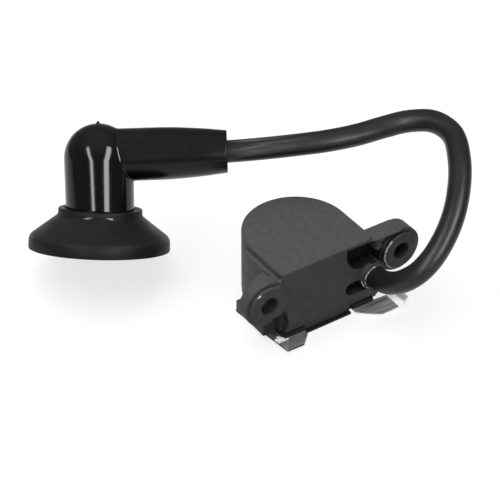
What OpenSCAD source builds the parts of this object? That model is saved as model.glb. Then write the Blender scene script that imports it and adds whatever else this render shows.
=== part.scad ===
// Ignition coil for a small two-stroke engine: potted coil block with two bolt ears on a
// steel base plate, a high tension lead, and an elbow plug boot with a dust shield.
// Millimetres. Z is up, X runs from the left ear to the right ear, -Y is the flat front.

/* [Mounting] */
// Distance between the two ear holes
hole_pitch = 48; // [44:0.5:54]
// Diameter of each ear hole
hole_d = 5.5; // [4.2:0.1:6.5]
// Height of the ear holes above the base
hole_h = 15.5; // [13:0.5:18]
// Outer radius of each ear
ear_r = 7.5; // [6.5:0.1:7.7]
// Radius of the raised ring round each hole
ring_r = 6.3; // [5.5:0.1:6.5]
// Depth of the left ear
ear_depth_l = 4.5; // [4:0.5:7]
// Depth of the right ear
ear_depth_r = 6.9; // [6:0.1:8]

/* [Housing] */
// Radius of the round back of the housing
body_r = 16.7; // [15:0.1:18]
// Sideways offset of the housing from the middle of the holes
body_x = -2.45; // [-4:0.05:0]
// Front face to the centre of the round back
body_y = 17.6; // [16:0.1:20]
// Height of the top face above the base
body_top = 24; // [22:0.5:28]
// How far the front face leans back between its foot and its top
front_lean = 1.3; // [0:0.1:1.5]
// Width of the softened top edge
top_edge = 0.8; // [0.3:0.1:1.2]
// Side wall thickness
wall = 2; // [1.5:0.1:2.5]
// Depth of the moulded pockets in the front face
pocket_depth = 5.3; // [3:0.1:5.5]

/* [Base] */
// Thickness of the steel base plate
plate_t = 1; // [0.6:0.1:1.5]
// Thickness of the insulating board above it
board_t = 1.6; // [1:0.1:2]
// Angle of the turned-up end of the right tab
flap_angle = 38; // [10:1:50]
// Length of the turned-up end
flap_len = 4.6; // [3:0.1:5]

/* [Coil inside] */
// Side of the square iron core
core_w = 7; // [5:0.5:7]
// Number of winding sections on the secondary bobbin
sections = 4; // [4:1:4]

/* [Lead] */
// Outside diameter of the high tension lead
lead_d = 7; // [6:0.5:7]
// Diameter of the stranded conductor
core_d = 2.4; // [1.8:0.2:2.6]
// Sides of the swept lead
lead_sides = 10; // [8:1:12]

/* [Plug boot] */
// Outer radius of the boot's upright tube
boot_r = 10.5; // [9.5:0.1:11]
// Length of the arm from the upright axis
arm_len = 39; // [34:0.5:42]
// Radius of the arm next to the upright
arm_r0 = 8.1; // [7:0.1:8.2]
// Radius of the arm at its mouth
arm_r1 = 6.6; // [6:0.05:7]
// Rise of the arm over square
arm_up = 2.2; // [0:0.1:5]
// Radius of the plug bore
plug_r = 5.5; // [5:0.1:6]
// Outer radius of the dust shield's rim
rim_r = 21.8; // [19:0.1:24]
// Radial running clearance of the turning pieces
run_clear = 0.06; // [0.03:0.01:0.09]

/* [Hidden] */
$fn = 72;
// Row origin: middle of the block's footprint, on the base
y_mid = 13.5;
board_z = plate_t + board_t;
// Front of the board: how far it stands out, the height of its lip, and the skirt over it
board_out = 0.6;
lip_t = 0.8;
skirt_t = 0.3;
hx = hole_pitch / 2;
cav_r = body_r - wall;
cav_top = body_top - 2;
// Lead socket on the right of the front face
sock = [13.5, 11];
sock_r = 4.6;
lead_r = lead_d / 2;
// Coil axis in the round of the housing
coil = [-3.5, 18.4];
bob_z0 = 3.6;
bob_z1 = 21.4;
sec_r = 11.5;
sec_z0 = 5;
sec_h = 14.6;
// Boot: where the arm axis crosses the upright axis, and how the boot leans
boot_o = [-40.8, 68.45, 35.65];
boot_turn = -33.3;
boot_lean = 28.9;
boot_roll = 0.4;
// Unit vector along the arm, out of the upright
arm_e = arm_up - boot_roll;
arm_dir = [
    cos(boot_turn) * cos(arm_e) - sin(boot_turn) * sin(boot_lean) * sin(arm_e),
    sin(boot_turn) * cos(arm_e) + cos(boot_turn) * sin(boot_lean) * sin(arm_e),
    cos(boot_lean) * sin(arm_e)
];
// Where along the arm the lead, its conductor and the bore end
lead_end = 10.2;
cond_end = 15;
bore_end = 10;

// Route of the lead: straight in the socket, round to the right, over the back, into the arm
in_socket = [[13.5, 11, 11], [13.5, 3, 11]];
bends = [
    [13.5, -1.5, 11],
    [13.5, -7, 12.5],
    [15, -12.2, 15.8],
    [18.6, -15.8, 20.7],
    [24.1, -16.2, 26.3],
    [31, -13.5, 33],
    [37.7, -7.7, 38.5],
    [43.3, -0.4, 42.5],
    [47.4, 8, 44.7],
    [46.5, 16, 45.3],
    [42, 22.5, 43.5],
    [36, 26.5, 41.4],
    [28, 30, 39.4],
    [19.5, 33.5, 38.4],
    [11, 38, 37.5],
    [2, 42.5, 37],
    boot_o + arm_len * arm_dir
];
in_arm = [boot_o + 27 * arm_dir, boot_o + cond_end * arm_dir, boot_o + lead_end * arm_dir];

// Smooth curve through the bends, two rings to each stretch
function near(i) =
    i < 0 ? in_socket[1] : i >= len(bends) ? in_arm[0] : bends[i];
function mid(i) = (-near(i - 1) + 9 * near(i) + 9 * near(i + 1) - near(i + 2)) / 16;
route = concat(
    in_socket,
    [for (i = [0 : len(bends) - 2]) each [bends[i], mid(i)]],
    [bends[len(bends) - 1]],
    in_arm
);

// Ring directions along the route, none of it parallel to the reference
ref = [-0.43, -0.66, 0.61];
function unit(v) = v / norm(v);
function tangent(p, i) = unit(p[min(i + 1, len(p) - 1)] - p[max(i - 1, 0)]);
function ring(p, i, r, n) =
    let (
        t = tangent(p, i),
        a = unit(cross(t, ref)),
        b = cross(t, a)
    )
    [for (k = [0 : n - 1]) p[i] + r * (cos(360 * k / n) * a + sin(360 * k / n) * b)];

// Solid rod swept along the points of p
module rod(p, r, n) {
    m = len(p);
    pts = [for (i = [0 : m - 1]) each ring(p, i, r, n)];
    sides = [for (i = [0 : m - 2], k = [0 : n - 1])
        [i * n + k, (i + 1) * n + k, (i + 1) * n + (k + 1) % n, i * n + (k + 1) % n]];
    first = [[for (k = [0 : n - 1]) k]];
    last = [[for (k = [0 : n - 1]) m * n - 1 - k]];
    polyhedron(points = pts, faces = concat(sides, first, last), convexity = 8);
}

// Hollow tube swept along the points of p
module hose(p, ro, ri, n) {
    m = len(p);
    outer = [for (i = [0 : m - 1]) each ring(p, i, ro, n)];
    inner = [for (i = [0 : m - 1]) each ring(p, i, ri, n)];
    q = m * n;
    out_f = [for (i = [0 : m - 2], k = [0 : n - 1])
        [i * n + k, (i + 1) * n + k, (i + 1) * n + (k + 1) % n, i * n + (k + 1) % n]];
    in_f = [for (i = [0 : m - 2], k = [0 : n - 1])
        [q + i * n + k, q + i * n + (k + 1) % n, q + (i + 1) * n + (k + 1) % n, q + (i + 1) * n + k]];
    first = [for (k = [0 : n - 1]) [k, (k + 1) % n, q + (k + 1) % n, q + k]];
    l = (m - 1) * n;
    last = [for (k = [0 : n - 1]) [l + k, q + l + k, q + l + (k + 1) % n, l + (k + 1) % n]];
    polyhedron(points = concat(outer, inner), faces = concat(out_f, in_f, first, last), convexity = 8);
}

// Puts a piece drawn from the front face into the row frame
module placed() {
    translate([0, -y_mid, 0]) children();
}

// Puts a piece drawn on the boot's own axes into the row frame
module on_boot() {
    translate(boot_o + [0, -y_mid, 0])
        rotate([-boot_lean, 0, boot_turn])
            rotate([0, boot_roll, 0])
                children();
}

// Cylinder along +Y from y0
module rod_y(x, y0, z, r, l) {
    translate([x, y0, z]) rotate([-90, 0, 0]) cylinder(r = r, h = l);
}

// Cylinder along the boot's arm between two distances
module rod_arm(s0, s1, r) {
    rotate([0, 90 - arm_up, 0]) translate([0, 0, s0]) cylinder(r = r, h = s1 - s0);
}

// Flat-fronted round-backed block
module dee(r, front, z0, z1) {
    translate([body_x, body_y, z0]) cylinder(r = r, h = z1 - z0);
    translate([body_x - r, front, z0]) cube([2 * r, body_y - front, z1 - z0]);
}

// The same block with its top edge taken off and its front leaning back
module soft_dee(r, front, z0, z1, c) {
    top_y = front + front_lean;
    translate([body_x, body_y, z0]) cylinder(r = r, h = z1 - z0 - c);
    translate([body_x, body_y, z1 - c]) cylinder(r1 = r, r2 = r - c, h = c);
    intersection() {
        translate([body_x, body_y, 0])
            rotate([90, 0, 0])
                linear_extrude(height = body_y - front)
                    polygon([[-r, z0], [r, z0], [r, z1 - c], [r - c, z1], [c - r, z1], [-r, z1 - c]]);
        translate([body_x - r, 0, 0])
            rotate([90, 0, 90])
                linear_extrude(height = 2 * r)
                    polygon([[front, z0], [body_y, z0], [body_y, z1], [top_y + c, z1], [top_y, z1 - c]]);
    }
}

// Room inside the housing
module cavity() {
    difference() {
        union() {
            translate([body_x, body_y, board_z]) cylinder(r = cav_r, h = cav_top - board_z);
            translate([body_x - cav_r, 2, board_z]) cube([18.9, body_y - 2, cav_top - board_z]);
            translate([1, 7, board_z]) cube([body_x + cav_r - 1, body_y - 7, cav_top - board_z]);
        }
        rod_y(sock[0], -2, sock[1], sock_r + 0.2, 15);
    }
    rod_y(sock[0], 13, sock[1], 3, 6);
}

module housing() {
    color([0.2, 0.2, 0.2])
    placed()
    difference() {
        union() {
            soft_dee(body_r, 0, board_z, body_top, top_edge);
            rod_y(hx, 0, hole_h, ring_r, ear_depth_r);
            rod_y(hx, 1, hole_h, ear_r, ear_depth_r - 1);
            translate([14, 0.6, hole_h + ear_r - 1.3]) cube([hx - 14, ear_depth_r - 0.6, 1.3]);
            translate([13, 5.3, hole_h - ear_r]) cube([hx - 13, ear_depth_r - 5.3, 2 * ear_r]);
            rod_y(15.4, 0.4, 20.6, 1.5, 5.4);
            rod_y(-hx, 0, hole_h, ring_r, ear_depth_l);
            rod_y(-hx, 1, hole_h, ear_r, ear_depth_l - 1);
            translate([0, 0, hole_h - 6])
                linear_extrude(height = 11.8)
                    polygon([
                        [-18.5, 1.5], [-20.2, 0.4], [-25, 0.4], [-26.5, 1.2],
                        [-28.5, 4.5], [-26, 7], [-18.5, 9]
                    ]);
            // ledge from the ear back along the block
            translate([0, 0, hole_h])
                linear_extrude(height = 6.5)
                    polygon([[-18.5, 1.6], [-19.9, 0.6], [-20.6, 8], [-20.9, 15], [-20.1, 19.5], [-17, 23]]);
            translate([-23.6, 4, plate_t]) cube([4, 14.8, 3.6]);
            translate([-20, 4, board_z]) cube([2, 14, 2]);
            // skirt that hides the board between the tabs
            translate([-11.2, 0, lip_t]) cube([16.3, skirt_t, board_z - lip_t + 0.2]);
            // boss of the lead socket, with a smaller collar in front
            rod_y(sock[0], -0.6, sock[1], sock_r, 21.1);
            rod_y(sock[0], -1.5, sock[1], sock_r - 0.55, 4);
            // gusset under the boss
            translate([0, 6, 0])
                rotate([90, 0, 0])
                    linear_extrude(height = 5.8)
                        polygon([
                            [13, 2.8], [14.4, 2.8], [14.6, 1.6], [15, 1.7], [16.8, 3.5], [17.6, 9], [13, 9]
                        ]);
        }
        cavity();
        // hollow in the corner under the left ear
        translate([0, 1.5, 0])
            rotate([90, 0, 0])
                linear_extrude(height = 2.5)
                    polygon([
                        [-23, 2], [-18.8, 2], [-17.4, 4], [-17, 6], [-17.3, 8], [-18.6, 10.5], [-23, 10.5]
                    ]);
        rod_y(hx, -1, hole_h, hole_d / 2, 12);
        rod_y(-hx, -1, hole_h, hole_d / 2, 12);
        // upper pocket with its round lower left corner
        difference() {
            translate([10, -1, 14.5]) cube([4.6, 1 + pocket_depth, 8.3]);
            rod_y(sock[0], -2, sock[1], sock_r, 10);
        }
        translate([4.2, -1, 20.4]) cube([6, 1 + pocket_depth, 2.4]);
        intersection() {
            translate([4.2, -1, 14.5]) cube([6, 1 + pocket_depth, 6]);
            rod_y(10.2, -1, 20.5, 6, 1 + pocket_depth);
        }
        // lower pocket with its round end
        difference() {
            union() {
                rod_y(6, -1, 8.4, 2.3, 5);
                translate([6, -1, 6.1]) cube([6.4, 5, 4.6]);
            }
            rod_y(sock[0], -2, sock[1], sock_r, 8);
        }
        // lead socket, spike hole
        rod_y(sock[0], -2, sock[1], lead_r + 0.04, 13);
        rod_y(sock[0], 10, sock[1], 0.8, 4);
    }
}

module potting() {
    color([0.1, 0.1, 0.11])
    placed()
    difference() {
        cavity();
        translate([coil[0] - core_w / 2, coil[1] - core_w / 2, 0]) cube([core_w, core_w, 5]);
        translate([coil[0], coil[1], bob_z0]) cylinder(r = sec_r, h = bob_z1 - bob_z0);
        translate([-17, 2.6, 4]) cube([17.6, 1, 17]);
        translate([-16.3, 3.6, 6]) cube([6, 4.5, 12]);
        translate([-8.5, 3.6, 11]) cube([4.8, 2.9, 4.8]);
        translate([-1.2, 4.9, 12]) cylinder(r = 1.3, h = 5.2);
        translate([-6, 4.55, 6]) cylinder(r = 0.95, h = 4);
        translate([-14, 3.1, 1]) cylinder(r = 0.5, h = 3);
        ht_parts_room();
        for (x = [-5, -2]) rod_y(x, 3.6, 20.2, 0.2, 7.7);
    }
}

module ht_parts_room() {
    rod_y(sock[0], 13, sock[1], 2, 1);
    rod_y(sock[0], 13.9, sock[1], 0.5, 3.1);
    translate([sock[0], 17, sock[1]]) sphere(r = 0.5);
    translate([6.5, 17, sock[1]]) rotate([0, 90, 0]) cylinder(r = 0.5, h = sock[0] - 6.5);
}

module base_board() {
    color([0.06, 0.06, 0.06])
    placed()
    difference() {
        union() {
            dee(body_r - 0.1, 0.4, plate_t, board_z);
            // edges that stand out over the two tabs
            translate([-18.6, -board_out, plate_t]) cube([7, board_out + 0.5, board_t]);
            translate([6.1, -board_out, plate_t]) cube([7.6, board_out + 0.5, board_t]);
            // lip in front of the plate, between the tabs
            translate([-11.2, -1.1, 0]) cube([16.3, 1.6, lip_t]);
            translate([-11.2, skirt_t, 0]) cube([16.3, 0.5 - skirt_t, board_z]);
        }
        translate([coil[0] - core_w / 2, coil[1] - core_w / 2, 0]) cube([core_w, core_w, 5]);
        translate([-14, 3.1, 0]) cylinder(r = 0.5, h = 5);
    }
}

module base_plate() {
    color([0.62, 0.62, 0.63])
    placed()
    union() {
        translate([body_x, body_y, 0]) cylinder(r = body_r - 0.4, h = plate_t);
        linear_extrude(height = plate_t)
            polygon([
                [-18, 22.5], [-23.6, 18.8], [-22.3, 5], [-20.9, -5.2], [-15.2, -5.4], [-11.6, -2],
                [-11.6, 0.5], [6.1, 0.5], [6.1, -2.2], [8.2, -4.3], [12.3, -7.3], [18.9, -7.3],
                [18.9, -0.6], [14.4, -0.2], [13.4, 0.8], [13.4, 17.4]
            ]);
        translate([18.9, -7.3, 0])
            rotate([0, -flap_angle, 0])
                cube([flap_len, 6.7, plate_t]);
    }
}

module core() {
    color([0.45, 0.45, 0.47])
    placed()
    difference() {
        translate([coil[0] - core_w / 2, coil[1] - core_w / 2, plate_t])
            cube([core_w, core_w, bob_z1 - plate_t]);
        for (k = [1 : 6]) {
            translate([coil[0] - core_w / 2 + k * core_w / 7 - 0.04, coil[1] - core_w, bob_z1 - 0.3])
                cube([0.08, 2 * core_w, 1]);
        }
    }
}

module primary_bobbin() {
    color([0.75, 0.72, 0.62])
    placed()
    translate([coil[0], coil[1], 0])
    difference() {
        union() {
            translate([0, 0, bob_z0]) cylinder(r = 5.7, h = bob_z1 - bob_z0);
            translate([0, 0, bob_z0]) cylinder(r = 7.5, h = 1);
            translate([0, 0, bob_z1 - 1]) cylinder(r = 7.5, h = 1);
        }
        translate([-core_w / 2, -core_w / 2, 0]) cube([core_w, core_w, 30]);
    }
}

module primary_winding() {
    color([0.72, 0.36, 0.16])
    placed()
    translate([coil[0], coil[1], 0])
    difference() {
        translate([0, 0, bob_z0 + 1]) cylinder(r = 7.2, h = bob_z1 - bob_z0 - 2);
        cylinder(r = 5.7, h = 30);
    }
}

module secondary_bobbin() {
    color([0.82, 0.8, 0.72])
    placed()
    translate([coil[0], coil[1], sec_z0])
    difference() {
        union() {
            cylinder(r = 8.5, h = sec_h);
            for (k = [0 : sections]) {
                translate([0, 0, k * (sec_h - 1) / sections]) cylinder(r = sec_r, h = 1);
            }
        }
        translate([0, 0, -1]) cylinder(r = 7.5, h = sec_h + 2);
        // slot that leads the wire from section to section
        translate([-0.6, 8.4, 0.5]) cube([1.2, 4, sec_h - 1]);
    }
}

module secondary_winding() {
    color([0.66, 0.3, 0.12])
    placed()
    translate([coil[0], coil[1], sec_z0])
    difference() {
        union() {
            for (k = [0 : sections - 1]) {
                translate([0, 0, k * (sec_h - 1) / sections + 1])
                    cylinder(r = 10.5, h = (sec_h - 1) / sections - 1);
            }
            translate([-0.6, 8.6, 1]) cube([1.2, 1.6, sec_h - 2]);
        }
        translate([0, 0, -1]) cylinder(r = 8.5, h = sec_h + 2);
    }
}

module circuit_board() {
    color([0.1, 0.35, 0.2])
    placed()
    translate([-17, 2.6, 4]) cube([17.6, 1, 17]);
}

module capacitor() {
    color([0.55, 0.25, 0.1])
    placed()
    translate([-16.3, 3.6, 6]) cube([6, 4.5, 12]);
}

module transistor() {
    color([0.08, 0.08, 0.08])
    placed()
    translate([-8.5, 3.6, 11]) cube([4.8, 2.9, 4.8]);
}

module diode() {
    color([0.12, 0.12, 0.13])
    placed()
    translate([-1.2, 4.9, 12]) cylinder(r = 1.3, h = 5.2);
}

module resistor() {
    color([0.78, 0.68, 0.5])
    placed()
    translate([-6, 4.55, 6]) cylinder(r = 0.95, h = 4);
}

module ground_pin() {
    color([0.8, 0.78, 0.7])
    placed()
    translate([-14, 3.1, plate_t]) cylinder(r = 0.5, h = 3);
}

module primary_leads() {
    color([0.72, 0.36, 0.16])
    placed()
    for (x = [-5, -2]) rod_y(x, 3.6, 20.2, 0.2, 7.7);
}

module ht_spike() {
    color([0.8, 0.66, 0.3])
    placed()
    union() {
        rod_y(sock[0], 5, sock[1], 0.8, 8.5);
        translate([sock[0], 3.5, sock[1]]) rotate([-90, 0, 0]) cylinder(r1 = 0.1, r2 = 0.8, h = 1.5);
        rod_y(sock[0], 13, sock[1], 2, 1);
    }
}

module ht_link() {
    color([0.72, 0.36, 0.16])
    placed()
    union() {
        rod_y(sock[0], 14, sock[1], 0.5, 3);
        translate([sock[0], 17, sock[1]]) sphere(r = 0.5);
        translate([7, 17, sock[1]]) rotate([0, 90, 0]) cylinder(r = 0.5, h = sock[0] - 7);
    }
}

module lead_jacket() {
    color([0.07, 0.07, 0.07])
    placed()
    hose(route, lead_r, core_d / 2, lead_sides);
}

module lead_core() {
    color([0.72, 0.4, 0.2])
    placed()
    rod([for (i = [1 : len(route) - 2]) route[i]], core_d / 2, lead_sides);
}

module lead_pin() {
    color([0.8, 0.78, 0.7])
    on_boot()
    rod_arm(-1.6, cond_end, 1);
}

module boot_elbow() {
    color([0.05, 0.05, 0.05])
    on_boot()
    difference() {
        union() {
            translate([0, 0, -0.8]) sphere(r = boot_r);
            translate([0, 0, -22.5]) cylinder(r = boot_r, h = 21.7);
            translate([0, 0, -18.8]) cylinder(r = boot_r + 0.6, h = 1.6);
            translate([0, 0, 8.6]) cylinder(r = 0.6, h = 1.8);
            rotate([0, 90 - arm_up, 0])
                rotate_extrude()
                    polygon([
                        [0, 0], [arm_r0, 0], [arm_r0, 14], [arm_r0 - 0.1, 22], [arm_r0 - 0.7, 31],
                        [arm_r1, arm_len - 0.4], [arm_r1 - 0.4, arm_len], [0, arm_len]
                    ]);
        }
        translate([0, 0, -23]) cylinder(r = plug_r, h = 12);
        translate([0, 0, -12]) cylinder(r = 4.4, h = 15);
        rod_arm(0, bore_end + 1, 1.6);
        rod_arm(bore_end, arm_len + 2, lead_r + run_clear);
    }
}

module plug_clip() {
    color([0.78, 0.76, 0.7])
    on_boot()
    difference() {
        union() {
            translate([0, 0, -10.8]) cylinder(r = 4.4, h = 8.3);
            translate([-2.5, -1.8, -3]) cube([5, 3.6, 5.4]);
        }
        translate([0, 0, -12]) cylinder(r = 3.6, h = 8.5);
        translate([-6, -0.6, -12]) cube([12, 1.2, 7]);
        rod_arm(-6, 6, 1 + run_clear);
    }
}

module dust_shield() {
    color([0.06, 0.06, 0.06])
    on_boot()
    rotate_extrude()
        polygon([
            [boot_r + run_clear, -16.9], [boot_r + 0.8, -16.2], [12.5, -16.2], [12.9, -16.6],
            [12.9, -18.3], [rim_r - 0.9, -24.2], [rim_r - 0.1, -25.3], [rim_r, -28.4], [rim_r - 0.5, -28.9],
            [rim_r - 1.6, -28.9], [rim_r - 1.7, -26], [11.5, -20.7], [boot_r + run_clear, -20.3],
            [boot_r + run_clear, -18.9], [boot_r + 0.6 + run_clear, -18.9],
            [boot_r + 0.6 + run_clear, -17.1], [boot_r + run_clear, -17.1]
        ]);
}

housing();
potting();
base_board();
base_plate();
core();
primary_bobbin();
primary_winding();
secondary_bobbin();
secondary_winding();
circuit_board();
capacitor();
transistor();
diode();
resistor();
ground_pin();
primary_leads();
ht_spike();
ht_link();
lead_jacket();
lead_core();
lead_pin();
boot_elbow();
plug_clip();
dust_shield();
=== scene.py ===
import math

import bpy
from mathutils import Matrix, Quaternion, Vector


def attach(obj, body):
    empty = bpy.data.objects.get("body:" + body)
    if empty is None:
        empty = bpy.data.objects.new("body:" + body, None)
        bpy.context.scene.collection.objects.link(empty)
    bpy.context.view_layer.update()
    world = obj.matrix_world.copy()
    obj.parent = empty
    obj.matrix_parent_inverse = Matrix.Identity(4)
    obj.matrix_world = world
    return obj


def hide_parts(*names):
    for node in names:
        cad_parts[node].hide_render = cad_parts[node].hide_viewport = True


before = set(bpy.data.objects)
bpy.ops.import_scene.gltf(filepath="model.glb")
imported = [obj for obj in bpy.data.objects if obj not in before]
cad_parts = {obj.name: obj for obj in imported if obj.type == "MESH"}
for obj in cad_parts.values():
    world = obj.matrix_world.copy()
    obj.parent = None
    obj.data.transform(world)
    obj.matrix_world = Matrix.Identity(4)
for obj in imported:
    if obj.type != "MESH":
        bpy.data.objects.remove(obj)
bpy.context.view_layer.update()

# The studio: a pale paper floor that runs out of the picture, a wide soft box overhead and two
# leaning strip lamps in front, whose reflections are the two streaks down the plug boot.
SUBJECT = Vector((-0.005, 0.015, 0.02))
FLOOR_SIDE, FLOOR_GAP = 8, 0.0001
PAPER_WHITE, PAPER_GLOW = 0.34, 0.75
PAPER_NEAR, PAPER_FAR = 0.08, 0.6
PAPER_FAR_SHARE = 0.1
ROOM_LEVELS = [(0.0, 0.22), (0.3, 0.2), (0.6, 0.25), (0.95, 0.58)]
OVERHEAD_PLACE, OVERHEAD_SIDE, OVERHEAD_BRIGHTNESS = (-0.3, 0.3, 1.25), 1.8, 1.65
STRIP_ELEVATION, STRIP_DISTANCE = 36, 1.1
STRIP_HEIGHT, STRIP_BRIGHTNESS, STRIP_LEAN = 1.25, 15, 40
CAMERA_PLACE = (-0.21213, -0.28954, 0.29432)
CAMERA_TURN = (math.radians(52.3), 0, math.radians(-33.3))
CAMERA_LENS, CAMERA_SENSOR = 108.36, 36


def spread(tree, source, start, end, low, high):
    """Runs a value from low to high while its source goes from start to end."""
    span = tree.nodes.new("ShaderNodeMapRange")
    span.inputs["From Min"].default_value = start
    span.inputs["From Max"].default_value = end
    span.inputs["To Min"].default_value = low
    span.inputs["To Max"].default_value = high
    tree.links.new(source, span.inputs["Value"])
    return span.outputs[0]


def worked(tree, operation, first, second):
    """One value worked out from two outputs, or from an output and a number."""
    step = tree.nodes.new("ShaderNodeMath")
    step.operation = operation
    tree.links.new(first, step.inputs[0])
    if isinstance(second, float):
        step.inputs[1].default_value = second
    else:
        tree.links.new(second, step.inputs[1])
    return step.outputs[0]


bpy.ops.object.select_all(action="DESELECT")
bpy.ops.mesh.primitive_plane_add(size=FLOOR_SIDE, location=(0, 0, -FLOOR_GAP))
floor = bpy.context.object
floor.name = "floor"
paper = bpy.data.materials.new("floor_paper")
paper.use_nodes = True
paper_tree = paper.node_tree
paper_shader = paper_tree.nodes["Principled BSDF"]
paper_shader.inputs["Roughness"].default_value = 0.9
paper_shader.inputs["Specular IOR Level"].default_value = 0.0
paper_shader.inputs["Emission Color"].default_value = (1, 1, 1, 1)

# the camera sees the paper white, and in reflections it fades with its distance from the part
paper_place = paper_tree.nodes.new("ShaderNodeTexCoord")
paper_reach = paper_tree.nodes.new("ShaderNodeVectorMath")
paper_reach.operation = "LENGTH"
paper_tree.links.new(paper_place.outputs["Object"], paper_reach.inputs[0])
paper_fade = spread(paper_tree, paper_reach.outputs["Value"], PAPER_NEAR, PAPER_FAR, 1.0, PAPER_FAR_SHARE)
paper_ray = paper_tree.nodes.new("ShaderNodeLightPath")
paper_tone = paper_tree.nodes.new("ShaderNodeMix")
paper_tone.inputs["A"].default_value = PAPER_WHITE
paper_tree.links.new(paper_ray.outputs["Is Glossy Ray"], paper_tone.inputs["Factor"])
paper_tree.links.new(worked(paper_tree, "MULTIPLY", paper_fade, PAPER_WHITE), paper_tone.inputs["B"])
paper_tree.links.new(paper_tone.outputs["Result"], paper_shader.inputs["Base Color"])
paper_shine = worked(paper_tree, "MULTIPLY", paper_ray.outputs["Is Glossy Ray"], paper_fade)
paper_seen = worked(paper_tree, "MAXIMUM", paper_ray.outputs["Is Camera Ray"], paper_shine)
paper_seen = worked(paper_tree, "MAXIMUM", paper_seen, paper_ray.outputs["Is Transmission Ray"])
paper_glow = worked(paper_tree, "MULTIPLY", paper_seen, PAPER_GLOW)
paper_tree.links.new(paper_glow, paper_shader.inputs["Emission Strength"])
floor.data.materials.append(paper)

room = bpy.data.worlds.new("studio_room")
bpy.context.scene.world = room
room.use_nodes = True
room_nodes, room_links = room.node_tree.nodes, room.node_tree.links
room_light = room_nodes["Background"]
room_place = room_nodes.new("ShaderNodeTexCoord")
room_split = room_nodes.new("ShaderNodeSeparateXYZ")
room_level = room_nodes.new("ShaderNodeValToRGB")
for height, level in ROOM_LEVELS[2:]:
    room_level.color_ramp.elements.new(height)
for stop, (height, level) in zip(room_level.color_ramp.elements, ROOM_LEVELS):
    stop.position = height
    stop.color = (level, level, level, 1)
room_links.new(room_place.outputs["Generated"], room_split.inputs[0])
room_links.new(room_split.outputs["Z"], room_level.inputs["Fac"])
room_links.new(room_level.outputs["Color"], room_light.inputs["Color"])


def round_subject(azimuth, elevation, distance):
    """A place round the subject; azimuth 0 is straight in front of the coil."""
    a, e = math.radians(azimuth), math.radians(elevation)
    way = Vector((math.sin(a) * math.cos(e), -math.cos(a) * math.cos(e), math.sin(e)))
    return SUBJECT + distance * way


def soft_box(name, place, width, height, brightness, lean=0):
    """A flat soft lamp of even brightness that faces the subject, its top leaned to the left."""
    bpy.ops.object.light_add(type="AREA", location=place)
    lamp = bpy.context.object
    lamp.name = name
    facing = (SUBJECT - Vector(place)).to_track_quat("-Z", "Y")
    lamp.rotation_euler = (facing @ Quaternion((0, 0, 1), math.radians(lean))).to_euler()
    lamp.data.shape = "RECTANGLE"
    lamp.data.size, lamp.data.size_y = width, height
    lamp.data.energy = brightness * math.pi * width * height
    return lamp


overhead = soft_box("overhead_box", OVERHEAD_PLACE, OVERHEAD_SIDE, OVERHEAD_SIDE, OVERHEAD_BRIGHTNESS)
overhead.visible_glossy = False
STRIPS = [("left_strip", -67, 0.16, STRIP_LEAN), ("right_strip", 8, 0.3, -STRIP_LEAN)]
for name, azimuth, width, lean in STRIPS:
    place = round_subject(azimuth, STRIP_ELEVATION, STRIP_DISTANCE)
    strip = soft_box(name, place, width, STRIP_HEIGHT, STRIP_BRIGHTNESS, lean)
    strip.visible_diffuse = False

bpy.ops.object.camera_add(location=CAMERA_PLACE, rotation=CAMERA_TURN)
camera = bpy.context.object
camera.data.sensor_width = CAMERA_SENSOR
camera.data.lens = CAMERA_LENS
camera.data.clip_start = 0.01
bpy.context.scene.camera = camera
bpy.context.scene.view_settings.view_transform = "Standard"


# The coil inside: a laminated iron core, two wound bobbins and a small circuit board with its
# parts, all drowned in cast resin. The CAD solids are right as they are and only get finishes.
def finish(name, colour, roughness, **sockets):
    """A finish whose even values sit on the shader itself."""
    material = bpy.data.materials.new(name)
    material.use_nodes = True
    shader = material.node_tree.nodes["Principled BSDF"]
    shader.inputs["Base Color"].default_value = (*colour, 1)
    shader.inputs["Roughness"].default_value = roughness
    for socket, value in sockets.items():
        shader.inputs[socket.replace("_", " ")].default_value = value
    return material


def cloud(material, scale, detail=3.0, stretch=(1, 1, 1)):
    """A cloudy pattern on the piece's own coordinates, from 0 to 1."""
    tree = material.node_tree
    place = tree.nodes.new("ShaderNodeTexCoord")
    fit = tree.nodes.new("ShaderNodeMapping")
    fit.inputs["Scale"].default_value = stretch
    noise = tree.nodes.new("ShaderNodeTexNoise")
    noise.inputs["Scale"].default_value = scale
    noise.inputs["Detail"].default_value = detail
    tree.links.new(place.outputs["Object"], fit.inputs["Vector"])
    tree.links.new(fit.outputs["Vector"], noise.inputs["Vector"])
    return noise.outputs["Fac"]


def stripes(material, scale, way="Z"):
    """Even stripes across one direction, from 0 to 1."""
    tree = material.node_tree
    place = tree.nodes.new("ShaderNodeTexCoord")
    wave = tree.nodes.new("ShaderNodeTexWave")
    wave.bands_direction = way
    wave.inputs["Scale"].default_value = scale
    wave.inputs["Distortion"].default_value = 0.4
    tree.links.new(place.outputs["Object"], wave.inputs["Vector"])
    return wave.outputs["Fac"]


def tone(material, source, dark, light, low=0.35, high=0.65):
    """Lets a pattern run the colour from a dark tone to a light one."""
    tree = material.node_tree
    ramp = tree.nodes.new("ShaderNodeValToRGB")
    ramp.color_ramp.elements[0].position = low
    ramp.color_ramp.elements[0].color = (*dark, 1)
    ramp.color_ramp.elements[1].position = high
    ramp.color_ramp.elements[1].color = (*light, 1)
    tree.links.new(source, ramp.inputs["Fac"])
    tree.links.new(ramp.outputs["Color"], tree.nodes["Principled BSDF"].inputs["Base Color"])


def dull(material, source, low, high):
    """Lets a pattern run the roughness between two values."""
    tree = material.node_tree
    roughness = spread(tree, source, 0.3, 0.7, low, high)
    tree.links.new(roughness, tree.nodes["Principled BSDF"].inputs["Roughness"])


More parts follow.
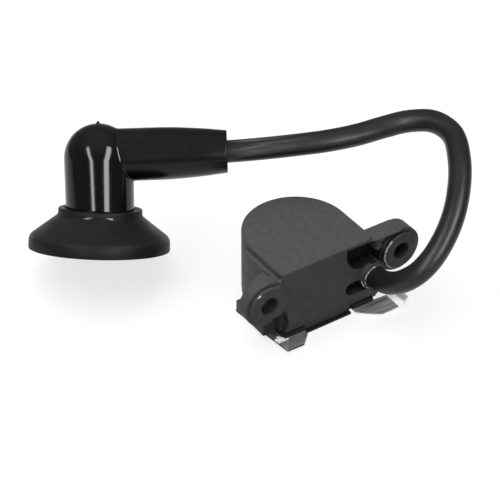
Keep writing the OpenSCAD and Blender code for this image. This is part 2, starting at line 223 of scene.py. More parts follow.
def grain(material, source, depth, strength=1.0):
    """Lets a pattern raise the surface by a small depth."""
    tree = material.node_tree
    bump = tree.nodes.new("ShaderNodeBump")
    bump.inputs["Distance"].default_value = depth
    bump.inputs["Strength"].default_value = strength
    tree.links.new(source, bump.inputs["Height"])
    tree.links.new(bump.outputs["Normal"], tree.nodes["Principled BSDF"].inputs["Normal"])


def coat(material, *names):
    """Puts a finish on CAD nodes."""
    for name in names:
        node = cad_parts[name]
        node.data.materials.clear()
        node.data.materials.append(material)


core_iron = finish("core_iron", (0.3, 0.3, 0.31), 0.45, Metallic=1.0)
tone(core_iron, stripes(core_iron, 500, "X"), (0.2, 0.2, 0.21), (0.36, 0.36, 0.37))
coat(core_iron, "core")

bobbin_nylon = finish("bobbin_nylon", (0.6, 0.56, 0.44), 0.4)
tone(bobbin_nylon, cloud(bobbin_nylon, 120), (0.52, 0.48, 0.37), (0.64, 0.6, 0.48))
coat(bobbin_nylon, "primary_bobbin", "secondary_bobbin")

winding_copper = finish("winding_copper", (0.55, 0.2, 0.08), 0.28, Metallic=1.0)
tone(winding_copper, stripes(winding_copper, 1500), (0.34, 0.11, 0.04), (0.66, 0.26, 0.11), 0.2, 0.8)
grain(winding_copper, stripes(winding_copper, 1500), 0.00005)
coat(winding_copper, "primary_winding", "secondary_winding", "primary_leads", "ht_link", "lead_core")

circuit_green = finish("circuit_green", (0.02, 0.11, 0.05), 0.35)
tone(circuit_green, cloud(circuit_green, 400), (0.015, 0.085, 0.04), (0.03, 0.14, 0.06))
coat(circuit_green, "circuit_board")

capacitor_dip = finish("capacitor_dip", (0.22, 0.06, 0.02), 0.25)
tone(capacitor_dip, cloud(capacitor_dip, 300), (0.17, 0.045, 0.015), (0.27, 0.08, 0.03))
coat(capacitor_dip, "capacitor")

chip_epoxy = finish("chip_epoxy", (0.012, 0.012, 0.013), 0.5)
grain(chip_epoxy, cloud(chip_epoxy, 4000), 0.00002)
coat(chip_epoxy, "transistor", "diode")

resistor_lacquer = finish("resistor_lacquer", (0.52, 0.4, 0.22), 0.3)
tone(resistor_lacquer, cloud(resistor_lacquer, 500), (0.46, 0.35, 0.18), (0.58, 0.45, 0.26))
coat(resistor_lacquer, "resistor")

tinned_wire = finish("tinned_wire", (0.72, 0.71, 0.68), 0.25, Metallic=1.0)
dull(tinned_wire, cloud(tinned_wire, 900), 0.2, 0.36)
coat(tinned_wire, "ground_pin", "lead_pin")

spike_brass = finish("spike_brass", (0.68, 0.47, 0.18), 0.25, Metallic=1.0)
dull(spike_brass, cloud(spike_brass, 700), 0.18, 0.34)
coat(spike_brass, "ht_spike")

cast_resin = finish("cast_resin", (0.012, 0.012, 0.014), 0.2)
dull(cast_resin, cloud(cast_resin, 150), 0.14, 0.3)
coat(cast_resin, "potting")


# The housing: one moulding of black filled nylon with a flat front, a round back and two bolt
# ears. Pockets in its front keep the walls even, and a boss takes the end of the lead.
MM = 0.001
FRONT = -13.5
BODY_RADIUS = 16.7
BODY_MID = (-2.45, 17.6)
BODY_FOOT, BODY_TOP = 2.6, 24
FRONT_LEAN = 1.3
EAR_HEIGHT = 15.5
EAR_LEFT, EAR_RIGHT = -24, 24
EAR_RING, EAR_SLAB, EAR_HOLE = 6.3, 7.5, 2.75
EAR_DEPTH_LEFT, EAR_DEPTH_RIGHT = 4.5, 6.9
EAR_TOP = EAR_HEIGHT + EAR_SLAB
RING_LEFT_FRONT, SLAB_FRONT = -0.15, 1
WEB_TOP, LEDGE_TOP = 21.3, 22
RIB, RIB_RADIUS, RIB_FRONT = (15.4, 20.6), 1.5, 0.4
WALL = 2
CHAMBER_RADIUS, CHAMBER_TOP = BODY_RADIUS - WALL, 22
SOCKET = (13.5, 11)
SOCKET_BORE = 3.54
BOSS_RADIUS, BOSS_FRONT = 4.6, -0.6
COLLAR_RADIUS, COLLAR_FRONT = 4.05, -1.5


def in_row(x, y, z):
    """A point of the part's frame, from mm across, mm back from the front face and mm up."""
    return Vector((x, y + FRONT, z)) * MM


def only(piece):
    """Leaves one piece selected and active."""
    bpy.ops.object.select_all(action="DESELECT")
    piece.select_set(True)
    bpy.context.view_layer.objects.active = piece


def settle(name):
    """Names the piece just added and puts its place into its mesh."""
    piece = bpy.context.object
    piece.name = name
    piece.data.name = name
    only(piece)
    bpy.ops.object.transform_apply(location=True, rotation=True, scale=True)
    return piece


def block(name, low, high):
    """A block between two corners."""
    low, high = in_row(*low), in_row(*high)
    bpy.ops.object.select_all(action="DESELECT")
    bpy.ops.mesh.primitive_cube_add(size=1, location=(low + high) / 2, scale=high - low)
    return settle(name)


def bar(name, x, z, radius, y0, y1, sides=72):
    """A round bar along Y."""
    bpy.ops.object.select_all(action="DESELECT")
    bpy.ops.mesh.primitive_cylinder_add(
        vertices=sides, radius=radius * MM, depth=(y1 - y0) * MM,
        location=in_row(x, (y0 + y1) / 2, z), rotation=(math.pi / 2, 0, 0))
    return settle(name)


def pulled(name, corners, pull):
    """A flat face through the corners, pulled into a solid."""
    bpy.ops.object.select_all(action="DESELECT")
    bpy.ops.mesh.primitive_circle_add(vertices=len(corners), radius=MM, fill_type="NGON")
    piece = bpy.context.object
    for vertex, corner in zip(piece.data.vertices, corners):
        vertex.co = corner
    piece = settle(name)
    bpy.ops.object.mode_set(mode="EDIT")
    bpy.ops.mesh.select_all(action="SELECT")
    bpy.ops.mesh.extrude_region_move(TRANSFORM_OT_translate={"value": pull})
    bpy.ops.mesh.select_all(action="SELECT")
    bpy.ops.mesh.normals_make_consistent(inside=False)
    bpy.ops.object.mode_set(mode="OBJECT")
    return piece


def prism(name, outline, low, high, along):
    """An outline pulled from low to high, along Z where it lies flat or along Y where it stands."""
    def placed(p, depth):
        return in_row(p[0], p[1], depth) if along == "Z" else in_row(p[0], depth, p[1])

    return pulled(name, [placed(p, low) for p in outline], placed((0, 0), high) - placed((0, 0), low))


def arc(middle, radius, start, step, count):
    """Points on a round, each a step of degrees on from the start."""
    turns = [math.radians(start + step * k) for k in range(count)]
    return [(middle[0] + radius * math.cos(t), middle[1] + radius * math.sin(t)) for t in turns]


def pick_edges(piece, wanted):
    """Selects the edges whose two ends, in mm from the front face, are wanted."""
    only(piece)
    bpy.ops.object.mode_set(mode="EDIT")
    bpy.ops.mesh.select_mode(type="EDGE")
    bpy.ops.mesh.select_all(action="DESELECT")
    bpy.ops.object.mode_set(mode="OBJECT")
    spots = [(v.co.x / MM, v.co.y / MM - FRONT, v.co.z / MM) for v in piece.data.vertices]
    for edge in piece.data.edges:
        edge.select = bool(wanted(*(Vector(spots[i]) for i in edge.vertices)))


def round_over(piece, width, steps, wanted):
    """Rounds the wanted edges."""
    pick_edges(piece, wanted)
    bpy.ops.object.mode_set(mode="EDIT")
    bpy.ops.mesh.bevel(offset=width * MM, segments=steps, affect="EDGES", clamp_overlap=True)
    bpy.ops.object.mode_set(mode="OBJECT")


def at(value, target, slack=0.02):
    """Whether a measure is at a target, within a hair."""
    return abs(value - target) < slack


def combine(piece, how, *tools):
    """Joins tools to a piece or cuts them out of it."""
    for tool in tools:
        only(piece)
        step = piece.modifiers.new("combine", "BOOLEAN")
        step.operation = how
        step.solver = "EXACT"
        step.object = tool
        bpy.ops.object.modifier_apply(modifier=step.name)
        mesh = tool.data
        bpy.data.objects.remove(tool)
        bpy.data.meshes.remove(mesh)


def smooth(piece, angle):
    """Shades a piece smooth across edges that are flatter than an angle."""
    only(piece)
    bpy.ops.object.shade_smooth_by_angle(angle=math.radians(angle))


def ease(piece, width, steps=2, angle=40):
    """Takes the sharpness off every edge that is steeper than an angle."""
    only(piece)
    bpy.ops.object.mode_set(mode="EDIT")
    bpy.ops.mesh.select_all(action="SELECT")
    bpy.ops.mesh.remove_doubles(threshold=0.00002)
    bpy.ops.object.mode_set(mode="OBJECT")
    step = piece.modifiers.new("ease", "BEVEL")
    step.width = width * MM
    step.segments = steps
    step.limit_method = "ANGLE"
    step.angle_limit = math.radians(angle)
    step.use_clamp_overlap = True
    bpy.ops.object.modifier_apply(modifier=step.name)


def spun(name, profile, place, turn, steps):
    """A turned solid: a profile of radius and height in mm, spun round its own Z, then placed."""
    bpy.ops.object.select_all(action="DESELECT")
    bpy.ops.mesh.primitive_plane_add(size=MM)
    piece = bpy.context.object
    bpy.ops.object.mode_set(mode="EDIT")
    bpy.ops.mesh.select_mode(type="VERT")
    bpy.ops.mesh.select_all(action="SELECT")
    bpy.ops.mesh.merge(type="CENTER")
    spots = [Vector((r, 0, h)) * MM for r, h in profile]
    bpy.ops.transform.translate(value=spots[0])
    for before, after in zip(spots, spots[1:]):
        bpy.ops.mesh.extrude_region_move(TRANSFORM_OT_translate={"value": after - before})
    bpy.ops.mesh.select_all(action="SELECT")
    bpy.ops.mesh.spin(steps=steps, angle=2 * math.pi, center=(0, 0, 0), axis=(0, 0, 1))
    bpy.ops.mesh.select_all(action="SELECT")
    bpy.ops.mesh.remove_doubles(threshold=0.000002)
    bpy.ops.mesh.normals_make_consistent(inside=False)
    bpy.ops.object.mode_set(mode="OBJECT")
    piece.matrix_world = Matrix.Translation(place) @ turn.to_4x4()
    return settle(name)


INTO_BLOCK = Matrix.Rotation(-math.pi / 2, 3, "X")


def drill(x, z, radius, back, depth, lip=0.3):
    """A drill for a round hole through an ear, with a soft lip in front and at the back."""
    profile = [
        (0, -2), (radius + lip, -2), (radius + lip, 0), (radius + 0.3 * lip, 0.3 * lip), (radius, lip),
        (radius, back - lip), (radius + 0.3 * lip, back - 0.3 * lip), (radius + lip, back),
        (radius + lip, depth), (0, depth),
    ]
    return spun("drill", profile, in_row(x, 0, z), INTO_BLOCK, 72)


def score(piece, place, way):
    """Splits the faces of a piece along a plane, without parting it."""
    only(piece)
    bpy.ops.object.mode_set(mode="EDIT")
    bpy.ops.mesh.select_all(action="SELECT")
    bpy.ops.mesh.bisect(plane_co=in_row(*place), plane_no=way, threshold=1e-6)
    bpy.ops.object.mode_set(mode="OBJECT")


# the block: half a round bar, its flat pulled forward to the front face
bpy.ops.mesh.primitive_cylinder_add(
    vertices=128, radius=BODY_RADIUS * MM, depth=(BODY_TOP - BODY_FOOT) * MM,
    location=in_row(*BODY_MID, (BODY_FOOT + BODY_TOP) / 2))
housing = settle("coil_housing")
bpy.ops.object.mode_set(mode="EDIT")
bpy.ops.mesh.select_all(action="SELECT")
bpy.ops.mesh.bisect(
    plane_co=in_row(*BODY_MID, 0), plane_no=(0, 1, 0), clear_inner=True, use_fill=True, threshold=1e-6)
bpy.ops.mesh.select_mode(type="FACE")
bpy.ops.mesh.select_all(action="DESELECT")
bpy.ops.object.mode_set(mode="OBJECT")
for face in housing.data.polygons:
    face.select = face.normal.y < -0.99
bpy.ops.object.mode_set(mode="EDIT")
bpy.ops.mesh.extrude_region_move(TRANSFORM_OT_translate={"value": (0, -BODY_MID[1] * MM, 0)})
bpy.ops.mesh.select_all(action="SELECT")
bpy.ops.mesh.normals_make_consistent(inside=False)
bpy.ops.object.mode_set(mode="OBJECT")
for vertex in housing.data.vertices:
    if at(vertex.co.y / MM, FRONT) and at(vertex.co.z / MM, BODY_TOP):
        vertex.co.y += FRONT_LEAN * MM
round_over(housing, 1.8, 5, lambda a, b: max(a.y, b.y) < 2 and at(a.x, b.x) and not at(a.z, b.z))
round_over(housing, 0.95, 4, lambda a, b: at(a.z, BODY_TOP) and at(b.z, BODY_TOP))

# the left ear: a ring round the hole, a set-back slab, and a web that runs back along the block
ring_left = bar("ring_left", EAR_LEFT, EAR_HEIGHT, EAR_RING, RING_LEFT_FRONT, EAR_DEPTH_LEFT)
round_over(ring_left, 0.3, 3, lambda a, b: at(a.y, RING_LEFT_FRONT) and at(b.y, RING_LEFT_FRONT))
slab_left = bar("slab_left", EAR_LEFT, EAR_HEIGHT, EAR_SLAB, SLAB_FRONT, EAR_DEPTH_LEFT)
round_over(slab_left, 0.3, 3, lambda a, b: at(a.y, SLAB_FRONT) and at(b.y, SLAB_FRONT))
WEB_OUTLINE = [
    (-18.5, 1.5), (-20.2, 0.4), (-25, 0.4), (-26.5, 1.2), (-28.5, 4.5), (-26, 7), (-18.5, 9),
]
web = prism("web", WEB_OUTLINE, 9.5, WEB_TOP, "Z")
round_over(web, 0.8, 4, lambda a, b: at(a.z, WEB_TOP) and at(b.z, WEB_TOP) and a.x < -20 and b.x < -20)
LEDGE_OUTLINE = [(-18.5, 1.6), (-19.9, 0.6), (-20.6, 8), (-20.9, 15), (-20.1, 19.5), (-17, 23)]
ledge = prism("ledge", LEDGE_OUTLINE, 15.5, LEDGE_TOP, "Z")
round_over(
    ledge, 0.5, 3, lambda a, b: at(a.z, LEDGE_TOP) and at(b.z, LEDGE_TOP) and a.x < -19.5 and b.x < -19.5)
foot = block("foot", (-23.6, 4, 1), (-19.0, 18.8, 4.6))
round_over(foot, 0.35, 2, lambda a, b: a.x < -23 and b.x < -23)

# the right ear: the same ring on a bar that stands out from the block, walled at its back
ring_right = bar("ring_right", EAR_RIGHT, EAR_HEIGHT, EAR_RING, 0, EAR_DEPTH_RIGHT)
round_over(ring_right, 0.35, 3, lambda a, b: at(a.y, 0) and at(b.y, 0))
slab_right = bar("slab_right", EAR_RIGHT, EAR_HEIGHT, EAR_SLAB, SLAB_FRONT, EAR_DEPTH_RIGHT)
round_over(slab_right, 0.3, 3, lambda a, b: at(a.y, b.y))
ear_top = block("ear_top", (14, 0.6, EAR_TOP - 1.3), (24, EAR_DEPTH_RIGHT - 0.05, EAR_TOP))
round_over(ear_top, 0.3, 3, lambda a, b: at(a.z, EAR_TOP) and at(b.z, EAR_TOP) and a.y < 1 and b.y < 1)
ear_wall = block("ear_wall", (13, 5.3, EAR_HEIGHT - EAR_SLAB), (24, EAR_DEPTH_RIGHT, EAR_TOP - 0.02))
FILL_OUTLINE = [(12.3, 1.3), (14.8, 0.62), (14.8, 3.6), (12.3, 3.6)]
ear_fill = prism("ear_fill", FILL_OUTLINE, EAR_TOP - 0.6, EAR_TOP, "Z")
ear_rib = bar("ear_rib", *RIB, RIB_RADIUS, RIB_FRONT, 5.8, 32)
round_over(ear_rib, 0.3, 2, lambda a, b: at(a.y, RIB_FRONT) and at(b.y, RIB_FRONT))

# the boss for the lead, with a smaller collar in front and a gusset below
boss = bar("boss", *SOCKET, BOSS_RADIUS, BOSS_FRONT, 20.5)
round_over(boss, 0.2, 3, lambda a, b: at(a.y, BOSS_FRONT) and at(b.y, BOSS_FRONT))
collar = bar("collar", *SOCKET, COLLAR_RADIUS, COLLAR_FRONT, 2.5)
round_over(collar, 0.2, 3, lambda a, b: at(a.y, COLLAR_FRONT) and at(b.y, COLLAR_FRONT))
GUSSET_OUTLINE = [(13, 2.8), (14.4, 2.8), (14.6, 1.6), (15, 1.7), (16.8, 3.5), (17.6, 9), (13, 9)]
gusset = prism("gusset", GUSSET_OUTLINE, 0.2, 6, "Y")

# the skirt that hides the board between the two tabs of the plate
skirt = block("skirt", (-11.2, 0, 0.8), (5.1, 0.3, 2.8))
combine(housing, "UNION", ring_left, slab_left, web, ledge, foot, slab_right, ear_top, ear_wall, ear_fill,
        ear_rib, ring_right, boss, collar, gusset, skirt)

# the chamber for the coil, open below
bpy.ops.mesh.primitive_cylinder_add(
    vertices=96, radius=CHAMBER_RADIUS * MM, depth=(CHAMBER_TOP + 0.4) * MM,
    location=in_row(*BODY_MID, (CHAMBER_TOP - 0.4) / 2))
chamber = settle("chamber")
combine(chamber, "UNION",
        block("chamber_left", (BODY_MID[0] - CHAMBER_RADIUS, WALL, -0.4), (1.75, BODY_MID[1], CHAMBER_TOP)),
        block("chamber_right", (1, 7, -0.4), (BODY_MID[0] + CHAMBER_RADIUS, BODY_MID[1], CHAMBER_TOP)))
combine(chamber, "DIFFERENCE", bar("boss_tube", *SOCKET, BOSS_RADIUS + 0.2, -2, 13))
combine(housing, "DIFFERENCE", chamber)

# holes and pockets
upper_outline = [(14.6, 14.5), (14.6, 22.8), (4.2, 22.8), (4.2, 20.5), *arc((10.2, 20.5), 6, 189, 9, 10)]
upper_pocket = prism("upper_pocket", upper_outline, -2, 5.3, "Y")
lower_outline = [(12.4, 6.1), (12.4, 10.7), (6, 10.7), *arc((6, 8.4), 2.3, 108, 18, 10)]
lower_pocket = prism("lower_pocket", lower_outline, -2, 4, "Y")
for pocket in (upper_pocket, lower_pocket):
    combine(pocket, "DIFFERENCE", bar("boss_clear", *SOCKET, BOSS_RADIUS, -3, 8))
HOLLOW_OUTLINE = [(-23, 2), (-18.8, 2), (-17.4, 4), (-17, 6), (-17.3, 8), (-18.6, 10.5), (-23, 10.5)]
hollow = prism("hollow", HOLLOW_OUTLINE, -1, 1.5, "Y")
combine(
    housing, "DIFFERENCE", upper_pocket, lower_pocket, hollow,
    drill(EAR_LEFT, EAR_HEIGHT, EAR_HOLE, EAR_DEPTH_LEFT, 8),
    drill(EAR_RIGHT, EAR_HEIGHT, EAR_HOLE, EAR_DEPTH_RIGHT, 9),
    bar("socket_bore", *SOCKET, SOCKET_BORE, -3, 11), bar("spike_hole", *SOCKET, 0.8, 10, 14, 24))
ease(housing, 0.16)

# faces are split where a finish ends
HOLLOW_BACK, HOLLOW_TOP, POCKET_END = 4, 10.4, 17.7
score(housing, (0, HOLLOW_BACK, 0), (0, 1, 0))
score(housing, (POCKET_END, 0, 0), (1, 0, 0))
score(housing, (0, 0, HOLLOW_TOP), (0, 0, 1))
smooth(housing, 40)


def grey(level):
    """A neutral colour."""
    return (level, level, level)


housing_nylon = finish("housing_nylon", grey(0.088), 0.55, Specular_IOR_Level=0.14)
tone(housing_nylon, cloud(housing_nylon, 500, 6.0), grey(0.08), grey(0.095))
dull(housing_nylon, cloud(housing_nylon, 260), 0.48, 0.62)
grain(housing_nylon, cloud(housing_nylon, 2600, 2.0), 0.00004, 0.6)

# the pockets, the hollow under the left ear, the bolt holes and the groove round the right ring get painted
# shade, darkest in the upper pocket and the groove, and stretches of the rims get a painted highlight, pale
# in patches
pocket_painted_shade = finish("pocket_painted_shade", grey(0.06), 0.6, Specular_IOR_Level=0.05)
tone(pocket_painted_shade, cloud(pocket_painted_shade, 200), grey(0.053), grey(0.068))
rim_painted_highlight = finish("rim_painted_highlight", grey(0.5), 0.5, Specular_IOR_Level=0.3)
tone(rim_painted_highlight, cloud(rim_painted_highlight, 1000, 2.0), grey(0.1), grey(1), 0.42, 0.54)
upper_painted_shade = finish("upper_painted_shade", grey(0.024), 0.6, Specular_IOR_Level=0.05)
tone(upper_painted_shade, cloud(upper_painted_shade, 200), grey(0.02), grey(0.028))
for material in (housing_nylon, pocket_painted_shade, rim_painted_highlight, upper_painted_shade):
    housing.data.materials.append(material)
ON_POCKET, ON_RIM, ON_UPPER = 1, 2, 3


def round_spot(x, z, middle):
    """How far a spot of the front is from a middle, and in which direction, in degrees from +X."""
    dx, dz = x - middle[0], z - middle[1]
    return math.hypot(dx, dz), math.degrees(math.atan2(dz, dx)) % 360


for face in housing.data.polygons:
    x, y, z = face.center.x / MM, face.center.y / MM - FRONT, face.center.z / MM
    from_socket, socket_way = round_spot(x, z, SOCKET)
    from_right, right_way = round_spot(x, z, (EAR_RIGHT, EAR_HEIGHT))
    from_left, left_way = round_spot(x, z, (EAR_LEFT, EAR_HEIGHT))

    # the two pockets and the space behind the boss, but not the ear's top or the rib in it
    in_upper = 3.1 < x < 17.6 and 14.3 < z < 22.9
    in_lower = 3.6 < x < 12.5 and 6 < z < 10.8
    behind_boss = 14 < x < 19 and 8 < z < 16
    on_front = y < 1.4 and face.normal.y < -0.9
    on_ear_top = face.normal.z > 0.9 and x > 14.7
    on_rib = math.hypot(x - RIB[0], z - RIB[1]) < RIB_RADIUS + 0.2
    sunk = 0.25 < y < 5.5 and not (on_front or on_ear_top or on_rib)

    # the hollow under the left ear, the bolt holes, and the groove round the right ring
    in_hollow = 0.12 < y < 4.1 and -23 < x < -16.8 and 2.5 < z < 10.45
    in_hole = min(from_right, from_left) < EAR_HOLE + 0.1 and y > 0.15
    in_groove = EAR_RING - 0.06 < from_right < EAR_SLAB - 0.35 and 0.4 < y < 1.15 and z > 15

    # the stretches of the rims that get a painted highlight
    on_collar = -0.3 < from_socket - COLLAR_RADIUS < 0.03 and y < -1.25 and 95 < socket_way < 200
    on_boss = -0.3 < from_socket - BOSS_RADIUS < 0.03 and -0.65 < y < -0.35 and 185 < socket_way < 320
    on_corner = 13.2 < x < 14.5 and y < 0.5 and 2.6 < z < 5.5
    on_right = -0.35 < from_right - EAR_RING < 0.05 and y < 0.4 and 125 < right_way < 275
    on_left = -0.35 < from_left - EAR_RING < 0.05 and y < 0.3 and 118 < left_way < 128

    # these rim stretches get the painted highlight
    if on_collar or on_boss or on_corner or on_right or on_left:
        face.material_index = ON_RIM
    # the upper pocket and the groove round the right ring get the darker painted shade
    elif in_groove or sunk and in_upper:
        face.material_index = ON_UPPER
    # the hollow, the bolt holes, the lower pocket and the space behind the boss get painted shade
    elif in_hollow or in_hole or sunk and (in_lower or behind_boss):
        face.material_index = ON_POCKET
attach(housing, "coil")
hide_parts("housing")


# The base: a thin black board that shuts the housing, and a stamped steel plate under it with a
# tab on either side of the front. The right tab's end is turned up.
board_black = finish("board_black", grey(0.004), 0.6, Specular_IOR_Level=0.2)
tone(board_black, cloud(board_black, 300), grey(0.003), grey(0.006))
coat(board_black, "base_board")

PLATE_THICK = 1
PLATE_RADIUS = BODY_RADIUS - 0.4
TAB_FRONT, TAB_BACK = -7.3, -0.6
FLAP_ROOT, FLAP_LENGTH, FLAP_ANGLE = 18.9, 4.6, math.radians(38)
FLAP_HALF = FLAP_ROOT + 0.38 * FLAP_LENGTH * math.cos(FLAP_ANGLE)
FACET_SPOT, FACET_WAY = Vector((-16.9, 0.4, 0)), Vector((0.84, -0.54, 0))
# the strip at the left tab's front and a small patch behind it get a painted highlight
HIGHLIGHT_FRONT = -1.2
HIGHLIGHT_PATCH_X, HIGHLIGHT_PATCH_Y = (-20.5, -19.4), (0.9, 1.6)
PLATE_OUTLINE = [
    (-23.6, 18.8), (-22.3, 5), (-20.9, -5.2), (-15.2, -5.4), (-11.6, -2), (-11.6, 0.5), (6.1, 0.5),
    (6.1, -2.2), (8.2, -4.3), (12.3, TAB_FRONT), (FLAP_ROOT, TAB_FRONT), (FLAP_ROOT, TAB_BACK),
    (14.4, -0.2), (13.4, 0.8), (13.4, 17.4), *arc(BODY_MID, PLATE_RADIUS, 5, 5, 31),
]
plate = prism("steel_plate", PLATE_OUTLINE, 0, PLATE_THICK, "Z")
round_over(plate, 0.45, 1, lambda a, b: at(a.z, 0) and at(b.z, 0))
flap = block("flap", (FLAP_ROOT - 0.2, TAB_FRONT, 0), (FLAP_ROOT + FLAP_LENGTH, TAB_BACK, PLATE_THICK))
hinge = in_row(FLAP_ROOT, 0, 0)
for vertex in flap.data.vertices:
    reach = vertex.co.x - hinge.x
    if reach > 0:
        rise = vertex.co.z
        vertex.co.x = hinge.x + reach * math.cos(FLAP_ANGLE) - rise * math.sin(FLAP_ANGLE)
        vertex.co.z = reach * math.sin(FLAP_ANGLE) + rise * math.cos(FLAP_ANGLE)
combine(plate, "UNION", flap)
ease(plate, 0.14, 2, 20)
score(plate, (FLAP_HALF, 0, 0), (1, 0, 0))
score(plate, (0, HIGHLIGHT_FRONT, 0), (0, 1, 0))
score(plate, FACET_SPOT, FACET_WAY)
for x in HIGHLIGHT_PATCH_X:
    score(plate, (x, 0, 0), (1, 0, 0))
for y in HIGHLIGHT_PATCH_Y:
    score(plate, (0, y, 0), (0, 1, 0))
smooth(plate, 30)

plate_steel = finish("plate_steel", (0.45, 0.45, 0.46), 0.5, Metallic=0.8)
tone(plate_steel, cloud(plate_steel, 110, 4.0, (1, 14, 1)), (0.28, 0.28, 0.285), (0.66, 0.66, 0.67))
dull(plate_steel, cloud(plate_steel, 120, 4.0, (1, 16, 1)), 0.42, 0.6)
grain(plate_steel, cloud(plate_steel, 220, 3.0, (1, 16, 1)), 0.00003, 0.5)
# the flap's steel is painted lighter, as painted light, and the crease half of the flap, the strip at the
# left tab's front and the small patch get a near-white painted highlight
flap_lit_steel = finish("flap_lit_steel", (0.6, 0.6, 0.61), 0.6, Metallic=0.8)
tone(flap_lit_steel, cloud(flap_lit_steel, 110, 4.0, (14, 1, 1)), (0.45, 0.45, 0.46), (0.75, 0.75, 0.76))
steel_painted_highlight = finish("steel_painted_highlight", grey(0.95), 0.72, Metallic=1.0)
tone(steel_painted_highlight, cloud(steel_painted_highlight, 300, 3.0, (1, 4, 1)), grey(0.88), grey(1))
# the plate's edge faces come in a lit and a shaded copy: bright steel with a painted highlight on the
# right-hand edges, and painted shade on the dark left-hand ones
edge_painted_light = finish("edge_painted_light", grey(0.9), 0.3, Metallic=1.0)
tone(edge_painted_light, cloud(edge_painted_light, 500, 3.0), grey(0.75), grey(0.95))
edge_painted_shade = finish("edge_painted_shade", (0.012, 0.011, 0.011), 0.7, Specular_IOR_Level=0.05)
tone(edge_painted_shade, cloud(edge_painted_shade, 300), (0.008, 0.007, 0.007), (0.02, 0.018, 0.018))
# the left tab behind its bright facet is painted darker: painted shade and a painted dark reflection of the
# ear above it
steel_painted_shade = finish("steel_painted_shade", grey(0.15), 0.4, Metallic=0.6)
tone(steel_painted_shade, cloud(steel_painted_shade, 110, 4.0, (1, 14, 1)), grey(0.16), grey(0.4))
for material in (plate_steel, flap_lit_steel, steel_painted_highlight, edge_painted_light, edge_painted_shade, steel_painted_shade):
    plate.data.materials.append(material)
ON_FLAP, ON_PAINTED_HIGHLIGHT, ON_EDGE_LIGHT, ON_EDGE_SHADE, ON_STEEL_SHADE = 1, 2, 3, 4, 5
for face in plate.data.polygons:
    spot = Vector((face.center.x / MM, face.center.y / MM - FRONT, 0))
    on_left_tab = spot.x < -11
    on_facet = (spot - FACET_SPOT).dot(FACET_WAY) < 0 and spot.y < 1.5
    in_patch = HIGHLIGHT_PATCH_X[0] < spot.x < HIGHLIGHT_PATCH_X[1] and HIGHLIGHT_PATCH_Y[0] < spot.y < HIGHLIGHT_PATCH_Y[1]
    # the edge faces: painted highlight on the right, painted shade on the left
    if face.normal.z < 0.5:
        face.material_index = ON_EDGE_LIGHT if spot.x > 5 else ON_EDGE_SHADE
    # the crease half of the flap gets the painted highlight, its outer half the lighter painted steel
    elif spot.x > FLAP_ROOT + 0.05:
        face.material_index = ON_PAINTED_HIGHLIGHT if spot.x < FLAP_HALF else ON_FLAP
    # the left tab's front strip and the small patch get the painted highlight
    elif on_left_tab and HIGHLIGHT_FRONT < spot.y < 0.6 or in_patch:
        face.material_index = ON_PAINTED_HIGHLIGHT
    # the rest of the left tab gets the painted shade
    elif on_left_tab and not (on_facet and spot.y < HIGHLIGHT_FRONT):
        face.material_index = ON_STEEL_SHADE
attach(plate, "coil")
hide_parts("base_plate")


# The lead: a high tension cable of black rubber round a stranded conductor. It is pushed onto
# the spike in the socket, arches over to the right and ends inside the arm of the boot.
LEAD_THICK = 0.007
ROUTE = [
    (13.5, 3, 11), (13.5, -1.5, 11), (13.5, -7, 12.5), (15, -12.2, 15.8), (18.6, -15.8, 20.7),
    (24.1, -16.2, 26.3), (31, -13.5, 33), (37.7, -7.7, 38.5), (43.3, -0.4, 42.5), (47.4, 8, 44.7),
    (46.5, 16, 45.3), (42, 22.5, 43.5), (36, 26.5, 41.4), (28, 30, 39.4), (19.5, 33.5, 38.4),
    (11, 38, 37.5), (2, 42.5, 37),
]
BOOT_AT = in_row(-40.8, 68.45, 35.65)
BOOT_TURN = (
    Matrix.Rotation(math.radians(-33.3), 3, "Z")
    @ Matrix.Rotation(math.radians(-28.9), 3, "X")
    @ Matrix.Rotation(math.radians(0.4), 3, "Y")
)
ARM_TURN = BOOT_TURN @ Matrix.Rotation(math.radians(90 - 2.2), 3, "Y")
ARM_WAY = ARM_TURN @ Vector((0, 0, 1))


def smooth_through(points, steps):
    """Points of a smooth line through the given ones."""
    line = [2 * points[0] - points[1], *points, 2 * points[-1] - points[-2]]
    out = []
    for a, b, c, d in zip(line, line[1:], line[2:], line[3:]):
        for k in range(steps):
            t = k / steps
            out.append(0.5 * (2 * b + (c - a) * t + (2 * a - 5 * b + 4 * c - d) * t * t
                              + (3 * b - a - 3 * c + d) * t * t * t))
    return out + [points[-1]]


lead_line = smooth_through(
    [in_row(13.5, 10.9, 11), *(in_row(*p) for p in ROUTE)]
    + [BOOT_AT + s * MM * ARM_WAY for s in (39, 27, 15, 10.2)], 7)
lead_curve = bpy.data.curves.new("lead", "CURVE")
lead_curve.dimensions = "3D"
lead_curve.bevel_depth = LEAD_THICK / 2
lead_curve.bevel_resolution = 7
lead_curve.use_fill_caps = True
lead_spline = lead_curve.splines.new("POLY")
lead_spline.points.add(len(lead_line) - 1)
for spot, place in zip(lead_spline.points, lead_line):
    spot.co = (*place, 1)
lead_spline.use_smooth = True
lead = bpy.data.objects.new("lead", lead_curve)
bpy.context.scene.collection.objects.link(lead)

lead_rubber = finish("lead_rubber", grey(0.015), 0.36, Specular_IOR_Level=0.34)
tone(lead_rubber, cloud(lead_rubber, 90), grey(0.012), grey(0.018))
dull(lead_rubber, cloud(lead_rubber, 160), 0.32, 0.42)
grain(lead_rubber, cloud(lead_rubber, 900, 2.0), 0.00003, 0.5)

